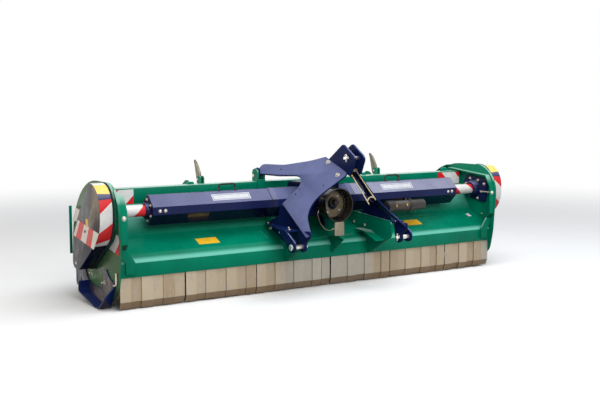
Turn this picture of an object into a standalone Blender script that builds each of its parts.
"""A tractor-mounted hammer knife mower, three metres wide, as an assembly of separate pieces.

Units are metres. X runs along the mower from its left end to its right end, Y runs back
from the tractor and Z runs up. Every piece is drawn from the front face of the hood's lip
(y = 0) and the ground (z = 0), and hangs from one empty that puts the origin under the
middle of the whole machine. Pieces at the ends are drawn for the right end (side 1) and
mirrored for the left end (side -1).
"""

from math import atan2, ceil, cos, pi, radians, sin, tan

import bmesh
import bpy
from mathutils import Matrix, Vector

# Driving dimensions
WORKING_WIDTH = 3.0
FRONT_REACH = 0.520
REAR_REACH = 0.830
HALF = WORKING_WIDTH / 2
GAP = 0.0003
MERGE = 0.000001
SMALL_RADIUS = 0.031
SMALL_STEP = radians(50)

# Axes that things turn on, as (y, z)
DRIVE = (0.170, 0.585)
ROTOR = (0.410, 0.305)
ROLLER = (0.728, 0.080)
BONNET = (0.470, 0.640)
FLAP_ROD = (0.014, 0.232)
REST = (-0.300, 0.812)
TOP_PIN = (-0.308, 0.893)
LOWER_PIN = (-0.306, 0.344)
ARM_PIN = (0.375, 0.752)
CANISTER = (0.045, 0.510)

# Sheets and plates
SHEET = 0.006
PLATE = 0.008
LEANING_PLATE = 0.012
COVER_SHEET = 0.003

# Square beam
BEAM_FRONT = 0.330
BEAM_BASE = 0.612
BEAM_SIZE = 0.100
BEAM_END = 1.385
HINGE_LUGS = (-1.300, 0.0, 1.300)
HINGE_LUG_WIDTH = 0.010
ARM_PIN_RADIUS = 0.0115

# Belt covers and skids outside the side plates
RIM_WIDTH = 0.040
RIM_WALL_END = 1.518
COVER_BASE = HALF + PLATE + 0.001
COVER_FACE = 1.617

# Long shaft covers: eight-sided, from an inner end to one outer end
COVER_HALF_DEPTH = 0.088
COVER_HALF_HEIGHT = 0.095
COVER_SLOPE = 0.070
COVER_WALL = 0.004
COVER_OUTER_END = 1.238
COVER_INNER_END = {-1: 0.365, 1: 0.280}
NECK_END = 1.264
GUARD_RADIUS = 0.0375

# Drive line
SHAFT_RADIUS = 0.0225
SHAFT_END = 1.600
DRIVE_PULLEY_RADIUS = 0.084
ROTOR_PULLEY_RADIUS = 0.056
PULLEY_FACES = (1.530, 1.590)
PULLEY_GROOVES = 1
BELT_FACES = (1.535, 1.585)
BELT_THICKNESS = 0.010
INPUT_RADIUS = 0.0175
BEVEL_RADIUS = 0.055
BEVEL_TEETH = 12
BEVEL_ROOT = 0.0495
BEVEL_TIP = 0.0595
BEVEL_INNER_SCALE = 0.68
SHAFT_PLAY = 0.0002
INPUT_FRONT = -0.122

# Rotor and its hammers; each row's pivot is at this angle up from straight back
ROTOR_TUBE_RADIUS = 0.070
ROTOR_TUBE_END = 1.464
TUBE_WALL = 0.008
END_DISC = 0.012
ROTOR_SHAFT_RADIUS = 0.020
PIVOT_RADIUS = 0.115
HAMMER_LENGTH = 0.088
HAMMER_ROWS = {"rear_upper": 35, "front_upper": 145, "front_lower": 215, "rear_lower": 325}
HAMMERS_IN_ROW = 5
HAMMER_PITCH = 0.560
ROW_STAGGER = HAMMER_PITCH / 4
HAMMER_ROD_RADIUS = 0.006
DRUM_SIDES = 20

# Rear roller
ROLLER_END = 1.470
ROLLER_STUB_RADIUS = 0.015

# Front flaps from the left end, in groups that each hang on one rod
FLAP_GROUPS = {"left_outer": 6, "left_middle": 7, "left_inner": 8, "right_inner": 7, "right_middle": 7,
               "right_outer": 6}
FLAP_PITCH = WORKING_WIDTH / sum(FLAP_GROUPS.values())
FLAP_OVERLAP = 0.004
FLAP_THICKNESS = 0.005
FLAP_SLIT = 0.006
LONE_FLAP = 7

GREEN = ((0.0, 0.19, 0.11), 0.35, 0.0)
BLUE = ((0.02, 0.03, 0.12), 0.35, 0.0)
BLACK = ((0.015, 0.015, 0.015), 0.5, 0.0)
ZINC = ((0.55, 0.52, 0.45), 0.4, 0.9)
YELLOW_ZINC = ((0.5, 0.4, 0.28), 0.45, 0.7)
STEEL = ((0.45, 0.45, 0.45), 0.35, 1.0)
CAST = ((0.2, 0.2, 0.2), 0.6, 0.8)
RUBBER = ((0.02, 0.02, 0.02), 0.8, 0.0)
STRIPED = ((0.75, 0.7, 0.68), 0.3, 0.0)

SIDES = {-1: "left", 1: "right"}
ADD, CUT = "UNION", "DIFFERENCE"


# Outlines: lists of (a, b) points in a plane

def rounded(corners, closed=True, step=radians(30)):
    """Corners (a, b) stay sharp and corners (a, b, radius) become arcs, coarser ones where small."""
    points = []
    last = len(corners) - 1
    for i, corner in enumerate(corners):
        here = Vector(corner[:2])
        if len(corner) == 2 or (not closed and i in (0, last)):
            points.append(tuple(here))
            continue
        radius = corner[2]
        back = (Vector(corners[i - 1][:2]) - here).normalized()
        ahead = (Vector(corners[(i + 1) % len(corners)][:2]) - here).normalized()
        half = back.angle(ahead) / 2
        centre = here + (back + ahead).normalized() * radius / sin(half)
        reach = radius / tan(half)
        start = here + back * reach - centre
        end = here + ahead * reach - centre
        first = atan2(start.y, start.x)
        turn = (atan2(end.y, end.x) - first + pi) % (2 * pi) - pi
        count = max(1, ceil(abs(turn) / (step if radius > SMALL_RADIUS else SMALL_STEP)))
        for k in range(count + 1):
            angle = first + turn * k / count
            points.append((centre.x + radius * cos(angle), centre.y + radius * sin(angle)))
    return points


def shifted(points, distance, closed=False):
    """The line moved to its left by a distance, with mitred corners."""
    moved = []
    count = len(points)
    for i, point in enumerate(points):
        normals = []
        for a, b in ((i - 1, i), (i, i + 1)):
            if closed or (a >= 0 and b < count):
                along = (Vector(points[b % count]) - Vector(points[a])).normalized()
                normals.append(Vector((-along.y, along.x)))
        middle = normals[0] + normals[-1]
        reach = 2 / (1 + normals[0].dot(normals[-1]))
        moved.append(tuple(Vector(point) + middle * distance * reach / 2))
    return moved


def thick(points, distance):
    """A closed outline around an open line, widened to the line's left."""
    return list(points) + shifted(points, distance)[::-1]


def inset(outline, distance):
    area = sum(a[0] * b[1] - b[0] * a[1] for a, b in zip(outline, outline[1:] + outline[:1]))
    return shifted(outline, distance if area > 0 else -distance, closed=True)


def around_two(first, first_radius, second, second_radius, steps=10):
    """The outline of a band around two circles, the first one the larger."""
    across = Vector(second) - Vector(first)
    lean = atan2(first_radius - second_radius, across.length)
    heading = atan2(across.y, across.x)
    wide = pi / 2 + lean
    points = []
    for k in range(steps + 1):
        angle = heading + pi / 2 - lean + (2 * wide) * k / steps
        points.append((first[0] + first_radius * cos(angle), first[1] + first_radius * sin(angle)))
    narrow = pi / 2 - lean
    for k in range(steps + 1):
        angle = heading - narrow + 2 * narrow * k / steps
        points.append((second[0] + second_radius * cos(angle), second[1] + second_radius * sin(angle)))
    return points


# Shapes: each is a bmesh

def prism(outline, low, high, axis="x"):
    """An outline extruded along an axis: (y, z) along X, (x, z) along Y, (x, y) along Z."""
    which = "xyz".index(axis)
    shape = bmesh.new()
    corners = []
    for point in outline:
        where = list(point)
        where.insert(which, low)
        corners.append(shape.verts.new(where))
    extruded = bmesh.ops.extrude_face_region(shape, geom=[shape.faces.new(corners)])
    far_end = [item for item in extruded["geom"] if isinstance(item, bmesh.types.BMVert)]
    along = Vector((0, 0, 0))
    along[which] = high - low
    bmesh.ops.translate(shape, verts=far_end, vec=along)
    return shape


def box(low, high):
    outline = [(low[1], low[2]), (high[1], low[2]), (high[1], high[2]), (low[1], high[2])]
    return prism(outline, low[0], high[0])


def turned(profile, centre, axis="x", steps=16, ring=False):
    """A profile of (radius, along) spun about an axis; a ring's profile is a closed loop."""
    if axis == "x":
        points = [(along, centre[0] + radius, centre[1]) for radius, along in profile]
        pivot = (0, *centre)
        direction = (1, 0, 0)
    else:
        points = [(centre[0] + radius, along, centre[1]) for radius, along in profile]
        pivot = (centre[0], 0, centre[1])
        direction = (0, 1, 0)
    shape = bmesh.new()
    verts = [shape.verts.new(point) for point in points]
    edges = [shape.edges.new(pair) for pair in zip(verts, verts[1:])]
    if ring:
        edges.append(shape.edges.new((verts[-1], verts[0])))
    bmesh.ops.spin(shape, geom=verts + edges, cent=pivot, axis=direction, angle=2 * pi, steps=steps)
    bmesh.ops.remove_doubles(shape, verts=shape.verts[:], dist=MERGE)
    return shape


def cylinder(radius, low, high, centre, axis="x", steps=16):
    return turned([(0, low), (radius, low), (radius, high), (0, high)], centre, axis, steps)


def pipe(inner, outer, low, high, centre, steps=16):
    return turned([(inner, low), (outer, low), (outer, high), (inner, high)], centre, steps=steps, ring=True)


def curve_along(name, route, radius):
    curve = bpy.data.curves.new(name, "CURVE")
    curve.dimensions = "3D"
    curve.bevel_depth = radius
    curve.bevel_resolution = 2
    curve.use_fill_caps = True
    spline = curve.splines.new("POLY")
    spline.points.add(len(route) - 1)
    for point, where in zip(spline.points, route):
        point.co = (*where, 1)
    return curve


def wire(route, radius):
    """A round bar along a route of points."""
    curve = curve_along("wire", route, radius)
    holder = bpy.data.objects.new("wire", curve)
    mesh = bpy.data.meshes.new_from_object(holder)
    shape = bmesh.new()
    shape.from_mesh(mesh)
    bmesh.ops.remove_doubles(shape, verts=shape.verts[:], dist=MERGE)
    bpy.data.objects.remove(holder)
    bpy.data.curves.remove(curve)
    bpy.data.meshes.remove(mesh)
    return shape


def joined(shapes):
    whole = bmesh.new()
    for shape in shapes:
        mesh = bpy.data.meshes.new("share")
        shape.to_mesh(mesh)
        whole.from_mesh(mesh)
        bpy.data.meshes.remove(mesh)
        shape.free()
    return whole


def transformed(shape, matrix):
    bmesh.ops.transform(shape, matrix=matrix, verts=shape.verts[:])
    return shape


def on_side(shape, side):
    """A shape drawn for the right end, or its mirror image for the left end."""
    return transformed(shape, Matrix.Diagonal((side, 1, 1, 1)))


# Objects

def clear_scene():
    for obj in list(bpy.data.objects):
        bpy.data.objects.remove(obj)


def make_machine_empty():
    machine = bpy.data.objects.new("machine", None)
    machine.location = (0, (FRONT_REACH - REAR_REACH) / 2, 0)
    bpy.context.scene.collection.objects.link(machine)
    return machine


def place(name, data, origin):
    obj = bpy.data.objects.new(name, data)
    bpy.context.scene.collection.objects.link(obj)
    obj.parent = MACHINE
    obj.location = origin
    return obj


def mesh_of(name, shape, origin):
    transformed(shape, Matrix.Translation(-Vector(origin)))
    bmesh.ops.recalc_face_normals(shape, faces=shape.faces[:])
    mesh = bpy.data.meshes.new(name)
    shape.to_mesh(mesh)
    shape.free()
    return mesh


def paint(obj, finish):
    colour, roughness, metallic = finish
    material = bpy.data.materials.new(obj.name)
    material.use_nodes = True
    shader = material.node_tree.nodes["Principled BSDF"]
    shader.inputs["Base Color"].default_value = (*colour, 1)
    shader.inputs["Roughness"].default_value = roughness
    shader.inputs["Metallic"].default_value = metallic
    obj.data.materials.clear()
    obj.data.materials.append(material)


def piece(name, finish, base, *steps, at=(0, 0, 0)):
    """One solid: a base shape, then shapes added to it and cut from it in the order given."""
    obj = place(name, mesh_of(name, base, at), at)
    helpers = []
    for operation, shape in steps:
        helper = place(name + "_helper", mesh_of(name + "_helper", shape, at), at)
        modifier = obj.modifiers.new(operation.lower(), "BOOLEAN")
        modifier.operation = operation
        modifier.object = helper
        helpers.append(helper)
    if helpers:
        bpy.context.view_layer.update()
        evaluated = obj.evaluated_get(bpy.context.evaluated_depsgraph_get())
        obj.data = bpy.data.meshes.new_from_object(evaluated)
        obj.data.name = name
        obj.modifiers.clear()
        for helper in helpers:
            bpy.data.objects.remove(helper)
    paint(obj, finish)
    obj.data.shade_smooth()
    obj.data.set_sharp_from_angle(angle=radians(32))
    return obj


def side_piece(side, name, finish, base, *steps, at=(0, 0, 0)):
    """A piece drawn for the right end and placed at either end."""
    steps = [(operation, on_side(shape, side)) for operation, shape in steps]
    at = (side * at[0], at[1], at[2])
    return piece(f"{SIDES[side]}_{name}", finish, on_side(base, side), *steps, at=at)


# Hood and beam

HOOD_LINE = [
    (0.0, 0.201),
    (0.0, 0.290, 0.012),
    (0.040, 0.338, 0.060),
    (0.205, 0.408, 0.080),
    (0.300, 0.533, 0.060),
    (0.322, BEAM_BASE - GAP, 0.010),
    (0.440, BEAM_BASE - GAP),
]
HOOD_BRACKET = [
    (0.003, 0.205),
    (-0.054, 0.219, 0.020),
    (-0.282, 0.345, 0.030),
    (-0.282, 0.452, 0.030),
    (0.133, 0.482, 0.020),
    (0.270, 0.490),
    (0.209, 0.404),
    (0.043, 0.334),
    (0.003, 0.288),
]
BRACKET_FACES = (0.335, 0.345)
BRACKET_GUSSET = [(0.050, 0.370), (-0.050, 0.363), (-0.195, 0.310)]
TAB_FACES = (-0.1530, -0.1475)
CABLE_FOOT = [(0.003, 0.230), (-0.144, 0.330), (-0.144, 0.385), (0.036, 0.334), (0.003, 0.288)]
FOOT_WEB = [(-0.036, 0.384), (0.040, 0.384), (0.040, 0.330)]


def make_hood():
    width = HALF - GAP
    steps = []
    for side in SIDES:
        steps.append((ADD, on_side(prism(rounded(HOOD_BRACKET), *BRACKET_FACES), side)))
        gusset = prism(thick(BRACKET_GUSSET, -SHEET), 0.270, BRACKET_FACES[0] + 0.002)
        steps.append((ADD, on_side(gusset, side)))
    steps.append((ADD, prism(CABLE_FOOT, 0.034, 0.040)))
    steps.append((ADD, prism(FOOT_WEB, TAB_FACES[1] + GAP, TAB_FACES[1] + SHEET, "y")))
    hood = prism(thick(rounded(HOOD_LINE, closed=False, step=radians(12)), -SHEET), -width, width)
    piece("hood_shell", GREEN, hood, *steps)


ARM_EARS = {
    (0.295, 0.305): [(0.322, 0.70), (0.322, 0.7555), (0.370, 0.7735), (0.398, 0.7735, 0.015), (0.398, 0.708)],
    (0.345, 0.355): [(0.322, 0.70), (0.322, 0.800, 0.030), (0.398, 0.800, 0.030), (0.398, 0.708)],
}
HORN_BRACKET = [
    (0.398, 0.707),
    (0.398, 0.762, 0.012),
    (0.455, 0.762, 0.015),
    (0.455, 0.716, 0.010),
    (0.425, 0.707),
]
HORN_BOLT = (0.436, 0.738)
HINGE_LUG = [(0.427, 0.622), (0.478, 0.622), (0.487, 0.640), (0.478, 0.657), (0.427, 0.668)]


def make_beam():
    back = BEAM_FRONT + BEAM_SIZE
    top = BEAM_BASE + BEAM_SIZE
    outer = [(BEAM_FRONT, BEAM_BASE), (back, BEAM_BASE), (back, top), (BEAM_FRONT, top)]
    bore = prism(inset(outer, SHEET), -BEAM_END - 0.01, BEAM_END + 0.01)
    steps = [(CUT, bore)]
    for side in SIDES:
        tie_base = BEAM_END - 0.010
        added = [prism(rounded(ear), *faces) for faces, ear in ARM_EARS.items()]
        added.append(box((0.2952, 0.322, 0.628), (0.3548, BEAM_FRONT + 0.001, 0.725)))
        added += [prism(rounded(HORN_BRACKET), 0.724, 0.731), prism(rounded(HORN_BRACKET), 0.747, 0.754)]
        added.append(box((tie_base, BEAM_FRONT, top - SHEET), (HALF - GAP, back, top)))
        added.append(box((tie_base, BEAM_FRONT, BEAM_BASE), (HALF - GAP, BEAM_FRONT + SHEET, top)))
        steps += [(ADD, on_side(shape, side)) for shape in added]
        steps.append((CUT, on_side(cylinder(ARM_PIN_RADIUS, 0.280, 0.370, ARM_PIN, steps=12), side)))
        steps.append((CUT, on_side(cylinder(0.0065, 0.715, 0.765, HORN_BOLT, steps=12), side)))
    half = HINGE_LUG_WIDTH / 2
    steps += [(ADD, prism(HINGE_LUG, middle - half, middle + half)) for middle in HINGE_LUGS]
    steps.append((CUT, cylinder(0.0068, -HALF, HALF, BONNET, steps=12)))
    piece("top_beam", GREEN, prism(outer, -BEAM_END, BEAM_END), *steps)


HORN = [
    (0.420, 0.716, 0.004),
    (0.425, 0.780, 0.060),
    (0.465, 0.840, 0.080),
    (0.519, 0.878, 0.006),
    (0.500, 0.825, 0.080),
    (0.485, 0.770, 0.060),
    (0.470, 0.716, 0.004),
]


def make_horn(side):
    bolt_hole = cylinder(0.0065, 0.725, 0.753, HORN_BOLT, steps=12)
    tip_hole = cylinder(0.005, 0.725, 0.753, (0.503, 0.852), steps=10)
    blade = prism(rounded(HORN, step=radians(12)), 0.7335, 0.7445)
    side_piece(side, "horn", STEEL, blade, (CUT, bolt_hole), (CUT, tip_hole))


# Side plates, belt covers and skids

SIDE_OUTLINE = [
    (-0.004, 0.130, 0.090),
    (-0.036, 0.270, 0.300),
    (-0.050, 0.440, 0.400),
    (-0.050, 0.772, 0.200),
    (0.790, 0.772, 0.450),
    (0.790, 0.270, 0.030),
    (0.600, 0.150, 0.050),
    (0.500, 0.020, 0.050),
    (0.140, 0.020, 0.040),
]
# Strips welded inside the plate: one round the back and a folded one in front; a wall outside
RIM_BACK = [(0.7895, 0.300), (0.7895, 0.6638, 0.4495), (0.455, 0.7566)]
RIM_FRONT = [(0.440, 0.735), (0.010, 0.698), (-0.0435, 0.612), (-0.0435, 0.410), (-0.0100, 0.3698)]
RIM_WALL = [(0.033, 0.734), (-0.0495, 0.6695, 0.1995), (-0.0495, 0.450)]
RIM_TONGUE = [
    (1.460, 0.376),
    (1.502, 0.376),
    (1.502, 0.331),
    (1.466, 0.297),
    (1.464, 0.222),
    (1.404, 0.222),
    (1.404, 0.297),
]


REAR_BOLT_X = 1.462
REAR_BOLTS = (0.385, 0.450, 0.520)


def make_side_plate(side):
    plate = prism(rounded(SIDE_OUTLINE, step=radians(9)), HALF, HALF + PLATE)
    back_line = rounded(RIM_BACK, closed=False, step=radians(9))
    wall_line = rounded(RIM_WALL, closed=False, step=radians(9))
    back_strip = prism(thick(back_line, PLATE), HALF - RIM_WIDTH, HALF + 0.002)
    front_strip = prism(thick(RIM_FRONT, PLATE), HALF - RIM_WIDTH, HALF + 0.002)
    wall = prism(thick(wall_line, PLATE), HALF + PLATE - 0.002, RIM_WALL_END)
    bolts = [cylinder(0.008, 0.730, REAR_REACH, (REAR_BOLT_X, z), "y", steps=8) for z in REAR_BOLTS]
    steps = [
        (ADD, back_strip),
        (ADD, front_strip),
        (ADD, wall),
        (ADD, prism(RIM_TONGUE, -0.0135, -GAP, "y")),
        (ADD, joined(bolts)),
        (CUT, cylinder(0.052, HALF - 0.01, HALF + 0.02, DRIVE)),
        (CUT, cylinder(0.036, HALF - 0.01, HALF + 0.02, ROTOR, steps=12)),
    ]
    side_piece(side, "side_plate", GREEN, plate, *steps)


BELT_COVER = [
    (-0.002, 0.466, 0.190),
    (-0.002, 0.772, 0.155),
    (0.170, 0.772, 0.030),
    (0.470, 0.446, 0.060),
    (0.492, 0.216, 0.045),
    (0.378, 0.212, 0.040),
]
COVER_STUD = (0.243, 0.472)


def make_belt_cover(side):
    outline = rounded(BELT_COVER, step=radians(8))
    hollow = prism(inset(outline, COVER_SHEET), COVER_BASE - 0.01, COVER_FACE - COVER_SHEET)
    stud = cylinder(0.008, COVER_FACE - COVER_SHEET / 2, COVER_FACE + 0.008, COVER_STUD, steps=12)
    side_piece(side, "belt_cover", BLUE, prism(outline, COVER_BASE, COVER_FACE), (CUT, hollow), (ADD, stud))


SKID_OUTER = 1.587
SKID_SOLE = [
    (0.034, 0.078),
    (0.130, 0.0, 0.060),
    (0.205, 0.0, 0.060),
    (0.497, 0.056, 0.025),
    (0.478, 0.126),
]
SKID_TIP_END = 0.070
SKID_TIP_RISE = (0.0, 0.011, 0.073)
SKID_PLATE = [
    (0.046, 0.156),
    (0.062, 0.166, 0.010),
    (0.142, 0.194, 0.030),
    (0.184, 0.236, 0.006),
    (0.202, 0.226, 0.006),
    (0.236, 0.170, 0.040),
    (0.270, 0.100, 0.030),
    (0.440, 0.108, 0.060),
    (0.506, 0.130, 0.030),
    (0.548, 0.200, 0.040),
    (0.552, 0.290, 0.010),
    (0.640, 0.290, 0.020),
    (0.650, 0.172, 0.020),
    (0.606, 0.094, 0.020),
    (0.486, 0.058),
    (0.205, 0.004),
    (0.140, 0.004),
]


def make_left_skid():
    """A cut plate and a bent sole whose front tip rises towards the side plate."""
    base = HALF + PLATE + GAP
    sole = prism(thick(rounded(SKID_SOLE, closed=False), PLATE), base + 0.001, SKID_OUTER)
    tip = [vert for vert in sole.verts if vert.co.x < SKID_OUTER - PLATE and vert.co.y < SKID_TIP_END]
    bmesh.ops.translate(sole, verts=tip, vec=SKID_TIP_RISE)
    twisted = [face for face in sole.faces if any(vert in tip for vert in face.verts)]
    bmesh.ops.triangulate(sole, faces=twisted)
    side_piece(-1, "skid", BLUE, prism(rounded(SKID_PLATE), base, base + PLATE), (ADD, sole))


# Shaft covers, guards and bearings

def eight_sided(half_depth, half_height, slope):
    y, z = DRIVE
    edge = half_depth - slope
    flat = half_height - slope
    return [
        (y - edge, z + half_height),
        (y + edge, z + half_height),
        (y + half_depth, z + flat),
        (y + half_depth, z - flat),
        (y + edge, z - half_height),
        (y - edge, z - half_height),
        (y - half_depth, z - flat),
        (y - half_depth, z + flat),
    ]


COVER_SECTION = eight_sided(COVER_HALF_DEPTH, COVER_HALF_HEIGHT, COVER_SLOPE)


def make_shaft_cover(side):
    inner_end = COVER_INNER_END[side]
    steps = [
        (CUT, prism(inset(COVER_SECTION, COVER_WALL), inner_end - 0.01, COVER_OUTER_END - 0.006)),
        (ADD, cylinder(0.047, COVER_OUTER_END - 0.003, NECK_END, DRIVE)),
        (CUT, cylinder(GUARD_RADIUS + 0.001, COVER_OUTER_END - 0.02, NECK_END + 0.02, DRIVE)),
    ]
    side_piece(side, "shaft_cover", BLUE, prism(COVER_SECTION, inner_end, COVER_OUTER_END), *steps)


def make_shaft_guard(side):
    guard = pipe(GUARD_RADIUS - 0.003, GUARD_RADIUS, COVER_OUTER_END + 0.002, 1.462, DRIVE, steps=24)
    side_piece(side, "shaft_guard", STRIPED, guard)


FLANGE_OUTLINE = [
    (0.025, 0.664, 0.015),
    (0.246, 0.690, 0.020),
    (0.286, 0.628, 0.020),
    (0.258, 0.518, 0.020),
    (0.040, 0.484, 0.020),
    (0.014, 0.610, 0.015),
]


def make_bearing_flange(side):
    face = HALF - GAP
    seat = GUARD_RADIUS + 0.001
    bore = SHAFT_RADIUS + 0.0015
    housing = [
        (seat, face - 0.052),
        (0.050, face - 0.052),
        (0.068, face - 0.022),
        (0.068, face - 0.003),
        (0.050, face - 0.003),
        (0.050, HALF + PLATE + 0.010),
        (bore, HALF + PLATE + 0.010),
        (bore, 1.4635),
        (seat, 1.4635),
    ]
    flange = prism(rounded(FLANGE_OUTLINE), face - 0.012, face)
    opening = cylinder(0.046, face - 0.020, face + 0.010, DRIVE, steps=12)
    side_piece(side, "bearing_flange", BLUE, flange, (CUT, opening), (ADD, turned(housing, DRIVE, ring=True)))


def make_rotor_bearing(side):
    base = HALF + PLATE + GAP
    bore = ROTOR_SHAFT_RADIUS + 0.001
    profile = [
        (bore, base),
        (0.058, base),
        (0.058, base + 0.008),
        (0.036, base + 0.012),
        (0.034, base + 0.019),
        (bore, base + 0.019),
    ]
    side_piece(side, "rotor_bearing", CAST, turned(profile, ROTOR, ring=True, steps=16))


# Gearbox with its bevel gears, cross shaft and input shaft

GEARBOX_HALF = 0.130
GEARBOX_FRONT = 0.045
GEARBOX_WALL = 0.010
GEARBOX_ENDS = (-0.335, 0.272)
GEARBOX_SECTION = [
    (GEARBOX_FRONT, 0.484, 0.020),
    (0.215, 0.484, 0.020),
    (0.290, 0.570, 0.030),
    (0.298, 0.712, 0.030),
    (GEARBOX_FRONT, 0.712, 0.020),
]
GEARBOX_LEG = [(0.165, 0.500), (0.225, 0.500), (0.230, 0.400), (0.165, 0.340)]


def make_gearbox():
    section = rounded(GEARBOX_SECTION)
    boss = (0, DRIVE[1])
    hood_line = rounded(HOOD_LINE, closed=False, step=radians(12))
    hood_space = shifted(hood_line, GAP) + shifted(hood_line, -0.100)[::-1]
    legs = [prism(GEARBOX_LEG, middle - 0.006, middle + 0.006) for middle in (-0.090, 0.090)]
    steps = [
        (ADD, joined(legs)),
        (CUT, prism(hood_space, -0.200, 0.200)),
        (ADD, prism(COVER_SECTION, *GEARBOX_ENDS)),
        (ADD, cylinder(0.066, GUARD_BACK + GAP, GEARBOX_FRONT + 0.015, boss, "y")),
        (CUT, prism(inset(section, GEARBOX_WALL), GEARBOX_WALL - GEARBOX_HALF, GEARBOX_HALF - GEARBOX_WALL)),
        (CUT, prism(inset(COVER_SECTION, COVER_WALL), GEARBOX_ENDS[0] - 0.01, GEARBOX_ENDS[1] + 0.01)),
        (CUT, cylinder(INPUT_RADIUS + 0.0015, GUARD_BACK - 0.020, 0.080, boss, "y")),
    ]
    piece("gearbox_housing", BLUE, prism(section, -GEARBOX_HALF, GEARBOX_HALF), *steps)


def bevel_gear(phase):
    """A gear about X with its teeth on a cone whose tip is the origin; the teeth face -X."""
    outline = []
    for tooth in range(BEVEL_TEETH):
        for turn, radius in ((-0.30, BEVEL_ROOT), (-0.13, BEVEL_TIP), (0.13, BEVEL_TIP), (0.30, BEVEL_ROOT)):
            angle = phase + 2 * pi * (tooth + turn) / BEVEL_TEETH
            outline.append((radius * cos(angle), radius * sin(angle)))
    gear = prism(outline, BEVEL_RADIUS, 2 * BEVEL_RADIUS)
    narrow = [vert for vert in gear.verts if vert.co.x > 1.5 * BEVEL_RADIUS]
    bmesh.ops.translate(gear, verts=narrow, vec=(-BEVEL_RADIUS, 0, 0))
    bmesh.ops.scale(gear, verts=narrow, vec=(BEVEL_INNER_SCALE,) * 3)
    return gear


def make_drive_line():
    y, z = DRIVE
    to_centre = Matrix.Translation((0, y, z))
    hub = cylinder(0.036, BEVEL_RADIUS - 0.001, BEVEL_RADIUS + 0.016, DRIVE, steps=16)
    bore = cylinder(SHAFT_RADIUS + GAP, 0.0, 0.1, DRIVE, steps=16)
    gear = transformed(bevel_gear(pi), to_centre)
    piece("crown_gear", STEEL, gear, (ADD, hub), (CUT, bore), at=(0, y, z))
    shaft = cylinder(SHAFT_RADIUS - SHAFT_PLAY, -SHAFT_END, SHAFT_END, DRIVE, steps=16)
    piece("cross_shaft", STEEL, shaft, at=(0, y, z))

    # The pinion is the same gear half a tooth on, turned so that its axis lies along Y
    to_front = Matrix(((0, 1, 0, 0), (-1, 0, 0, 0), (0, 0, 1, 0), (0, 0, 0, 1)))
    pinion = transformed(bevel_gear(pi / BEVEL_TEETH), to_centre @ to_front)
    shaft = cylinder(INPUT_RADIUS, INPUT_FRONT, y - BEVEL_RADIUS + 0.002, (0, z), "y", steps=16)
    piece("input_shaft", STEEL, pinion, (ADD, shaft), at=(0, 0, z))


def grooved(radius, faces, hub_radius):
    """A pulley's profile: a rim with its grooves and a bore."""
    low, high = faces
    step = (high - low - 0.012) / PULLEY_GROOVES
    root = radius - 0.009
    rim = [(radius, low), (radius, low + 0.004)]
    for k in range(PULLEY_GROOVES):
        start = low + 0.006 + k * step
        rim += [(root, start + step * 0.35), (root, start + step * 0.65), (radius, start + step * 0.95)]
    rim[-1] = (radius, high)
    return [(hub_radius, low), *rim, (hub_radius, high)]


def make_pulleys(side):
    shaft_bore = SHAFT_RADIUS + GAP
    profile = grooved(DRIVE_PULLEY_RADIUS, PULLEY_FACES, shaft_bore)
    at = (PULLEY_FACES[0], *DRIVE)
    side_piece(side, "drive_pulley", CAST, turned(profile, DRIVE, steps=18, ring=True), at=at)
    profile = grooved(ROTOR_PULLEY_RADIUS, PULLEY_FACES, ROTOR_SHAFT_RADIUS + GAP)
    at = (PULLEY_FACES[0], *ROTOR)
    side_piece(side, "rotor_pulley", CAST, turned(profile, ROTOR, steps=DRUM_SIDES, ring=True), at=at)


def make_belt(side):
    clear = 0.0010
    inner = around_two(DRIVE, DRIVE_PULLEY_RADIUS + clear, ROTOR, ROTOR_PULLEY_RADIUS + clear)
    band = clear + BELT_THICKNESS
    outer = around_two(DRIVE, DRIVE_PULLEY_RADIUS + band, ROTOR, ROTOR_PULLEY_RADIUS + band)
    low, high = BELT_FACES
    belt = prism(outer, low, high)
    side_piece(side, "belt", RUBBER, belt, (CUT, prism(inner, low - 0.01, high + 0.01)))


# Rotor and hammers

def row_pivot(angle):
    return (ROTOR[0] + PIVOT_RADIUS * cos(radians(angle)), ROTOR[1] + PIVOT_RADIUS * sin(radians(angle)))


def hammer_places(row):
    """Where a row's hammers hang along X; each row is staggered against the one before it."""
    first = -HAMMER_PITCH * (HAMMERS_IN_ROW - 1) / 2 + ROW_STAGGER * (row - 1.5)
    return [first + HAMMER_PITCH * k for k in range(HAMMERS_IN_ROW)]


def rotor_lug(angle):
    """A lug's outline from the tube out past its hammer pivot."""
    outward = Vector((cos(radians(angle)), sin(radians(angle))))
    across = Vector((-outward.y, outward.x))
    corners = [(0.066, -0.022), (0.128, -0.012), (0.128, 0.012), (0.066, 0.022)]
    return [tuple(Vector(ROTOR) + outward * out + across * aside) for out, aside in corners]


def drum(radius, end, wall, disc, stub_radius, stub_end, axis):
    """A closed tube on stub shafts, and the cuts that hollow it and vent both its ends."""
    half_profile = [(radius, end), (stub_radius, end), (stub_radius, stub_end), (0, stub_end)]
    profile = [(r, -x) for r, x in half_profile[::-1]] + half_profile
    vent_axis = (axis[0], axis[1] + (radius + stub_radius) / 2)
    vent_ends = (end - disc - 0.010, end + 0.010)
    steps = [(CUT, cylinder(radius - wall, disc - end, end - disc, axis, steps=DRUM_SIDES))]
    steps += [(CUT, on_side(cylinder(0.008, *vent_ends, vent_axis, steps=8), side)) for side in SIDES]
    return turned(profile, axis, steps=DRUM_SIDES), steps


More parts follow.
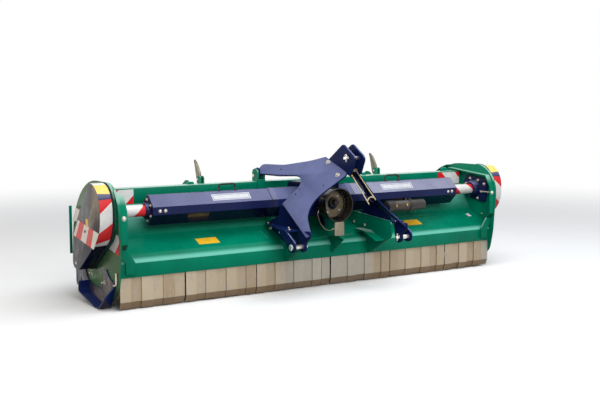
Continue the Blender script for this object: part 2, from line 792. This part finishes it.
def make_rotor():
    stub_radius = ROTOR_SHAFT_RADIUS - SHAFT_PLAY
    stub_end = PULLEY_FACES[1] + 0.008
    tube, steps = drum(ROTOR_TUBE_RADIUS, ROTOR_TUBE_END, TUBE_WALL, END_DISC, stub_radius, stub_end, ROTOR)
    lugs = []
    bores = []
    for row, angle in enumerate(HAMMER_ROWS.values()):
        lugs += [prism(rotor_lug(angle), middle - 0.004, middle + 0.004) for middle in hammer_places(row)]
        bore_radius = HAMMER_ROD_RADIUS + 0.0025
        bores.append(cylinder(bore_radius, -ROTOR_TUBE_END, ROTOR_TUBE_END, row_pivot(angle), steps=6))
    steps += [(ADD, joined(lugs)), (CUT, joined(bores))]
    piece("rotor", CAST, tube, *steps, at=(0, *ROTOR))


def hammer_outline(middle, pivot_z):
    """A fork with two prongs over the hinge rod and a wide flat-bottomed head."""
    prong = [(0.007, -0.048), (0.007, 0.011), (0.014, 0.011), (0.014, -0.052)]
    right = [*prong, (0.054, -0.066), (0.054, -HAMMER_LENGTH)]
    left = [(-x, z) for x, z in right[::-1]]
    return [(middle + x, pivot_z + z) for x, z in left + right]


def make_hammer_row(row, name, angle):
    """A hinge rod with its hammers hanging straight down, each one astride its lug."""
    y, z = row_pivot(angle)
    places = hammer_places(row)
    hammers = [prism(hammer_outline(middle, z), y - 0.014, y + 0.014, "y") for middle in places]
    rod = cylinder(HAMMER_ROD_RADIUS, places[0] - 0.030, places[-1] + 0.030, (y, z), steps=6)
    piece("hammer_row_" + name, STEEL, rod, (ADD, joined(hammers)), at=(0, y, z))


# Rear roller, its arms and the bonnet

def make_roller():
    tube, steps = drum(ROLLER[1], ROLLER_END, 0.006, 0.010, ROLLER_STUB_RADIUS, HALF - 0.001, ROLLER)
    piece("rear_roller", CAST, tube, *steps, at=(0, *ROLLER))


ROLLER_ARM = [
    (0.690, 0.045, 0.030),
    (0.560, 0.300, 0.030),
    (0.560, 0.420, 0.020),
    (0.700, 0.420, 0.030),
    (0.775, 0.300, 0.030),
    (0.768, 0.045, 0.030),
]


def make_roller_arm(side):
    face = HALF - GAP
    bore = cylinder(0.0165, face - 0.02, face + 0.01, ROLLER, steps=16)
    side_piece(side, "roller_arm", BLUE, prism(rounded(ROLLER_ARM), face - PLATE, face), (CUT, bore))


BONNET_END = 1.440
BONNET_LINE = [
    (BONNET[0] + 0.010, BONNET[1]),
    (0.560, 0.630, 0.060),
    (0.700, 0.560, 0.120),
    (0.768, 0.400, 0.080),
    (0.768, 0.215),
]
BONNET_RIB = [
    (0.500, 0.630),
    (0.500, 0.690, 0.030),
    (0.575, 0.735, 0.050),
    (0.650, 0.690, 0.040),
    (0.690, 0.564),
]


def make_bonnet():
    line = rounded(BONNET_LINE, closed=False, step=radians(12))
    sheet = prism(thick(line, -0.005), -BONNET_END, BONNET_END)
    barrel = cylinder(0.013, -BONNET_END, BONNET_END, BONNET, steps=10)
    steps = [(ADD, barrel), (CUT, cylinder(0.0075, -HALF, HALF, BONNET, steps=8))]
    for middle in HINGE_LUGS:
        room = HINGE_LUG_WIDTH / 2 + 0.003
        steps.append((CUT, box((middle - room, 0.440, 0.590), (middle + room, 0.4965, 0.680))))
    for side in SIDES:
        steps.append((ADD, on_side(prism(rounded(BONNET_RIB), 0.764, 0.772), side)))
    piece("rear_bonnet", GREEN, sheet, *steps, at=(0, *BONNET))
    piece("bonnet_hinge_rod", ZINC, cylinder(0.006, -1.400, 1.400, BONNET, steps=8), at=(0, *BONNET))


# Headstock: leaning plates, top link bracket and lower link lugs

# Plane of the right leaning plate: a point on it, and its forward and upward directions
LEAN_POINT = Vector((0.200, 0.0, 0.756))
LEAN_FORWARD = Vector((-0.358, -0.934, 0.0)).normalized()
LEAN_OUT = Vector((0.680, -0.261, 0.686)).normalized()
LEAN_UP = Vector((-0.640, 0.246, 0.728)).normalized()
LEANING_OUTLINE = [
    (-0.398, 0.100, 0.030),
    (-0.200, 0.100, 0.200),
    (0.000, 0.146, 0.300),
    (0.180, 0.214),
    (0.342, 0.044, 0.020),
    (0.140, -0.240, 0.200),
    (0.300, -0.450, 0.012),
    (0.276, -0.480, 0.010),
    (-0.045, -0.228, 0.010),
    (0.057, 0.022, 0.080),
    (-0.200, 0.006, 0.100),
    (-0.398, 0.014, 0.035),
]
BRACKET_PLATES = (0.031, 0.043)
ARM_LUG = [(0.350, 0.722, 0.015), (0.345, 0.805, 0.025), (0.405, 0.805, 0.025), (0.402, 0.725, 0.015)]
INNER_LUG = [
    (-0.255, 0.440, 0.010),
    (-0.388, 0.448, 0.010),
    (-0.388, 0.410, 0.010),
    (-0.341, 0.366),
    (-0.343, 0.307, 0.033),
    (-0.270, 0.307, 0.033),
]
LOWER_PIN_RADIUS = 0.014


def leaning_plate():
    flat = prism(rounded(LEANING_OUTLINE, step=radians(8)), -LEANING_PLATE, 0, "z")
    turn = Matrix((LEAN_FORWARD, LEAN_UP, LEAN_OUT)).transposed().to_4x4()
    return transformed(flat, Matrix.Translation(LEAN_POINT) @ turn)


def make_hitch_plate(side):
    steps = [
        (CUT, box((-0.200, -0.600, 0.300), (BRACKET_PLATES[1] + GAP, 0.300, 1.200))),
        (ADD, prism(rounded(ARM_LUG), 0.318, 0.334)),
        (ADD, prism(rounded(INNER_LUG), 0.380, 0.392)),
        (CUT, cylinder(ARM_PIN_RADIUS, 0.300, 0.345, ARM_PIN, steps=12)),
        (CUT, cylinder(LOWER_PIN_RADIUS + 0.0005, 0.370, 0.400, LOWER_PIN, steps=16)),
    ]
    side_piece(side, "hitch_plate", BLUE, leaning_plate(), *steps)


TOP_BRACKET = [
    (-0.085, 0.790),
    (-0.075, 0.868, 0.010),
    (-0.252, 0.984, 0.030),
    (-0.394, 0.899, 0.030),
    (-0.340, 0.784, 0.020),
    (-0.250, 0.784, 0.020),
]


def make_top_bracket():
    low = BRACKET_PLATES[0]
    outline = rounded(TOP_BRACKET)
    steps = [
        (ADD, on_side(prism(outline, *BRACKET_PLATES), -1)),
        (ADD, box((-low - 0.002, -0.130, 0.800), (low + 0.002, -0.116, 0.880))),
        (ADD, cylinder(0.005, -low - 0.002, low + 0.002, REST, steps=12)),
        (CUT, cylinder(0.0130, -0.060, 0.060, TOP_PIN, steps=20)),
    ]
    piece("top_link_bracket", BLUE, prism(outline, *BRACKET_PLATES), *steps)


LOWER_WEB = [
    (0.150, 0.410),
    (0.196, 0.434),
    (0.196, 0.446),
    (0.050, 0.500, 0.030),
    (0.020, 0.588),
    (-0.250, 0.484, 0.010),
    (-0.262, 0.430, 0.020),
    (-0.240, 0.350, 0.030),
    (-0.090, 0.312, 0.030),
    (0.010, 0.350, 0.030),
]
LOWER_SHELF = [(0.196, 0.372), (-0.170, 0.468), (-0.250, 0.468)]
OUTER_LUG = [
    (-0.160, 0.442),
    (-0.220, 0.446, 0.010),
    (-0.342, 0.374, 0.033),
    (-0.342, 0.308, 0.033),
    (-0.273, 0.308, 0.033),
    (-0.205, 0.384, 0.030),
    (-0.160, 0.415),
]
WEB_FACES = (BRACKET_FACES[1] + GAP, 0.3555)
OUTER_LUG_FACES = (0.460, 0.470)


def make_lower_lug(side):
    inner = WEB_FACES[0] + 0.002
    outline = [(inner, LOWER_SHELF[-1][0]), (inner, LOWER_SHELF[0][0]), *[(x, y) for y, x in LOWER_SHELF]]
    shelf = prism(outline, 0.434, 0.443, "z")
    steps = [
        (ADD, shelf),
        (ADD, prism(rounded(OUTER_LUG), *OUTER_LUG_FACES)),
        (CUT, cylinder(LOWER_PIN_RADIUS + 0.0005, 0.440, 0.480, LOWER_PIN, steps=16)),
    ]
    side_piece(side, "lower_lug", BLUE, prism(rounded(LOWER_WEB), *WEB_FACES), *steps)


def pin_profile(radius, tip, chamfer, collar, collar_radius, end):
    """Half of a pin's outline from its tip to the end of its collar."""
    return [
        (0, tip),
        (radius - chamfer, tip),
        (radius, tip + chamfer),
        (radius, collar),
        (collar_radius, collar),
        (collar_radius, end),
        (0, end),
    ]


def make_hitch_pins():
    lower = pin_profile(LOWER_PIN_RADIUS, 0.356, 0.004, 0.4715, 0.021, 0.484)
    for side in SIDES:
        side_piece(side, "hitch_pin", ZINC, turned(lower, LOWER_PIN, steps=16), at=(0.372, *LOWER_PIN))
    upper = pin_profile(0.0125, -0.075, 0.004, 0.044, 0.019, 0.056)
    piece("top_link_pin", ZINC, turned(upper, TOP_PIN, steps=16), at=(0, *TOP_PIN))


# Input guard, guard cable and the rest for the drive shaft

GUARD_FRONT = -0.152
GUARD_BACK = -0.060
GUARD_AXIS = (0, 0.571)
CABLE_RADIUS = 0.002
CABLE_ROUTE = [
    (-0.1125, -0.0690, 0.5335),
    (-0.1160, -0.0690, 0.5245),
    (-0.1185, -0.0695, 0.5150),
    (-0.1195, -0.0705, 0.5055),
    (-0.1190, -0.0725, 0.4960),
    (-0.1175, -0.0750, 0.4865),
    (-0.1160, -0.0775, 0.4770),
    (-0.1140, -0.0800, 0.4675),
    (-0.1115, -0.0830, 0.4585),
    (-0.1085, -0.0865, 0.4500),
    (-0.1055, -0.0900, 0.4415),
    (-0.1020, -0.0945, 0.4335),
    (-0.0980, -0.0990, 0.4260),
    (-0.0935, -0.1040, 0.4190),
    (-0.0885, -0.1095, 0.4125),
    (-0.0825, -0.1155, 0.4080),
    (-0.0760, -0.1215, 0.4045),
    (-0.0690, -0.1275, 0.4035),
    (-0.0620, -0.1335, 0.4045),
    (-0.0550, -0.1395, 0.4075),
    (-0.0485, -0.1450, 0.4125),
    (-0.0425, -0.1500, 0.4190),
]


def make_input_guard():
    profile = [
        (0.1050, GUARD_FRONT + 0.002),
        (0.1130, GUARD_FRONT),
        (0.1130, GUARD_FRONT + 0.012),
        (0.1085, GUARD_FRONT + 0.016),
        (0.1085, GUARD_BACK),
        (0.0400, GUARD_BACK),
        (0.0400, GUARD_BACK - 0.005),
        (0.1045, GUARD_BACK - 0.005),
    ]
    clip = box((-0.119, GUARD_BACK - 0.018, 0.5345), (-0.104, GUARD_BACK - 0.001, 0.556))
    piece("input_guard", BLACK, turned(profile, GUARD_AXIS, "y", steps=28, ring=True), (ADD, clip))


def make_guard_cable():
    curve = curve_along("guard_cable", CABLE_ROUTE, CABLE_RADIUS)
    paint(place("guard_cable", curve, (0, 0, 0)), YELLOW_ZINC)


def make_cable_tab():
    corners = [(-0.038, 0.366, 0.004), (0.038, 0.366, 0.004), (0.038, 0.457, 0.006), (-0.038, 0.457, 0.006)]
    piece("cable_tab", YELLOW_ZINC, prism(rounded(corners), *TAB_FACES, "y"))


REST_HALF_GAP = 0.026
REST_BAR_RADIUS = 0.004
SADDLE_STEPS = 6
SADDLE_RISE = 0.017


def make_shaft_rest():
    """A bail on a sleeve: two bars that lean forward and down, and a saddle between them."""
    sleeve = pipe(0.0062, 0.0095, -0.0300, 0.0300, REST, steps=12)
    bar_top = Vector((0, REST[0] - 0.004, REST[1] - 0.004))
    tips = {-1: Vector((0, -0.5240, 0.604)), 1: Vector((0, -0.5240, 0.629))}
    bars = []
    for side, tip in tips.items():
        aside = Vector((side * REST_HALF_GAP, 0, 0))
        bars.append(wire([bar_top + aside, tip + aside], REST_BAR_RADIUS))
    left = bar_top.lerp(tips[-1], 0.90)
    right = bar_top.lerp(tips[1], 0.90)
    toward_pivot = (bar_top - tips[-1]).normalized()
    saddle = []
    for k in range(SADDLE_STEPS + 1):
        across = 2 * k / SADDLE_STEPS - 1
        middle = left.lerp(right, k / SADDLE_STEPS) + toward_pivot * SADDLE_RISE * (1 - across * across)
        saddle.append(middle + Vector((across * REST_HALF_GAP, 0, 0)))
    steps = [(ADD, bars[0]), (ADD, bars[1]), (ADD, wire(saddle, REST_BAR_RADIUS * 1.2)),
             (CUT, cylinder(0.0062, -0.040, 0.040, REST, steps=12)),
             (CUT, box((-0.100, -FRONT_REACH - 0.100, 0.500), (0.100, -FRONT_REACH, 0.700)))]
    piece("shaft_rest", YELLOW_ZINC, sleeve, *steps, at=(0, *REST))


# Small fittings

CANISTER_RADIUS = 0.0385
CANISTER_ENDS = (0.590, 0.880)
CANISTER_BAND = (0.741, 0.761)
CAP_ENDS = (0.542, 0.606)


def make_cover_handle(side):
    y, z = 0.160, DRIVE[1] + COVER_HALF_HEIGHT + GAP
    low, high = 0.620, 0.741
    legs = [(low, z), (low, z + 0.030), (low + 0.006, z + 0.041), (low + 0.018, z + 0.045)]
    legs += [(low + high - x, height) for x, height in legs[::-1]]
    bar = wire([(x, y, height) for x, height in legs], 0.0055)
    feet = [box((x - 0.012, y - 0.008, z), (x + 0.012, y + 0.008, z + 0.008)) for x in (low, high)]
    side_piece(side, "cover_handle", BLACK, bar, *[(ADD, foot) for foot in feet])


def make_canister():
    """The tube, with a band whose arm reaches the shaft cover's lower slope, and the cap over its end."""
    y, z = CANISTER
    low, high = CANISTER_ENDS
    band_low, band_high = CANISTER_BAND
    profile = [
        (0, high - 0.004),
        (CANISTER_RADIUS - 0.004, high - 0.004),
        (CANISTER_RADIUS - 0.004, low),
        (CANISTER_RADIUS, low),
        (CANISTER_RADIUS, band_low),
        (CANISTER_RADIUS + 0.0045, band_low),
        (CANISTER_RADIUS + 0.0045, band_high),
        (CANISTER_RADIUS, band_high),
        (CANISTER_RADIUS, high),
        (0, high),
    ]
    arm = [(y + 0.022, z + 0.031), (y + 0.031, z + 0.022), (y + 0.0665, z + 0.0200), (y + 0.0405, z + 0.0460)]
    band_arm = prism(arm, band_low + 0.002, band_high - 0.002)
    piece("document_canister", BLACK, turned(profile, CANISTER, steps=20), (ADD, band_arm))
    cap_low, cap_high = CAP_ENDS
    inside = CANISTER_RADIUS + 0.0007
    seat = low - 0.0015
    cap = [
        (0, cap_low),
        (inside - 0.0012, cap_low),
        (inside + 0.0028, cap_low + 0.004),
        (inside + 0.0028, cap_high),
        (inside, cap_high),
        (inside, seat),
        (0, seat),
    ]
    piece("canister_cap", BLACK, turned(cap, CANISTER, steps=20), at=(cap_low, *CANISTER))


# Front flaps

def make_flaps():
    """Each group hangs on its rod: flaps in front and behind by turns, with their feet bent back."""
    rod_y, rod_z = FLAP_ROD
    front_face = 0.0067
    behind = FLAP_THICKNESS + 0.001
    start = -HALF
    for name, count in FLAP_GROUPS.items():
        end = start + FLAP_PITCH * count
        flaps = {0: [], 1: []}
        for k in range(count):
            low = start + FLAP_PITCH * k - FLAP_OVERLAP
            high = start + FLAP_PITCH * (k + 1) + FLAP_OVERLAP
            if name == "left_inner" and k == LONE_FLAP - 1:
                high = start + FLAP_PITCH * (k + 1) - FLAP_SLIT / 2
            if name == "left_inner" and k == LONE_FLAP:
                low = start + FLAP_PITCH * k + FLAP_SLIT / 2
            low = max(low, start + FLAP_SLIT / 2)
            high = min(high, end - FLAP_SLIT / 2)
            layer = k % 2
            face = front_face + layer * behind
            line = [(face, rod_z), (face, 0.050), (face + 0.018, 0.006)]
            flaps[layer].append(prism(thick(line, FLAP_THICKNESS), low, high))
        rod = cylinder(0.0065, start + 0.0015, end - 0.0015, (rod_y, rod_z), steps=4)
        steps = [(ADD, joined(flaps[0])), (ADD, joined(flaps[1]))]
        middle = ((start + end) / 2, rod_y, rod_z)
        piece("flaps_" + name, YELLOW_ZINC, rod, *steps, at=middle)
        start = end


def make_all():
    make_hood()
    make_beam()
    make_gearbox()
    make_drive_line()
    make_rotor()
    for row, (name, angle) in enumerate(HAMMER_ROWS.items()):
        make_hammer_row(row, name, angle)
    make_roller()
    make_bonnet()
    make_top_bracket()
    make_hitch_pins()
    make_input_guard()
    make_guard_cable()
    make_cable_tab()
    make_shaft_rest()
    make_canister()
    make_flaps()
    make_left_skid()
    for side in SIDES:
        make_horn(side)
        make_side_plate(side)
        make_belt_cover(side)
        make_shaft_cover(side)
        make_shaft_guard(side)
        make_bearing_flange(side)
        make_rotor_bearing(side)
        make_pulleys(side)
        make_belt(side)
        make_roller_arm(side)
        make_hitch_plate(side)
        make_lower_lug(side)
        make_cover_handle(side)


clear_scene()
MACHINE = make_machine_empty()
make_all()
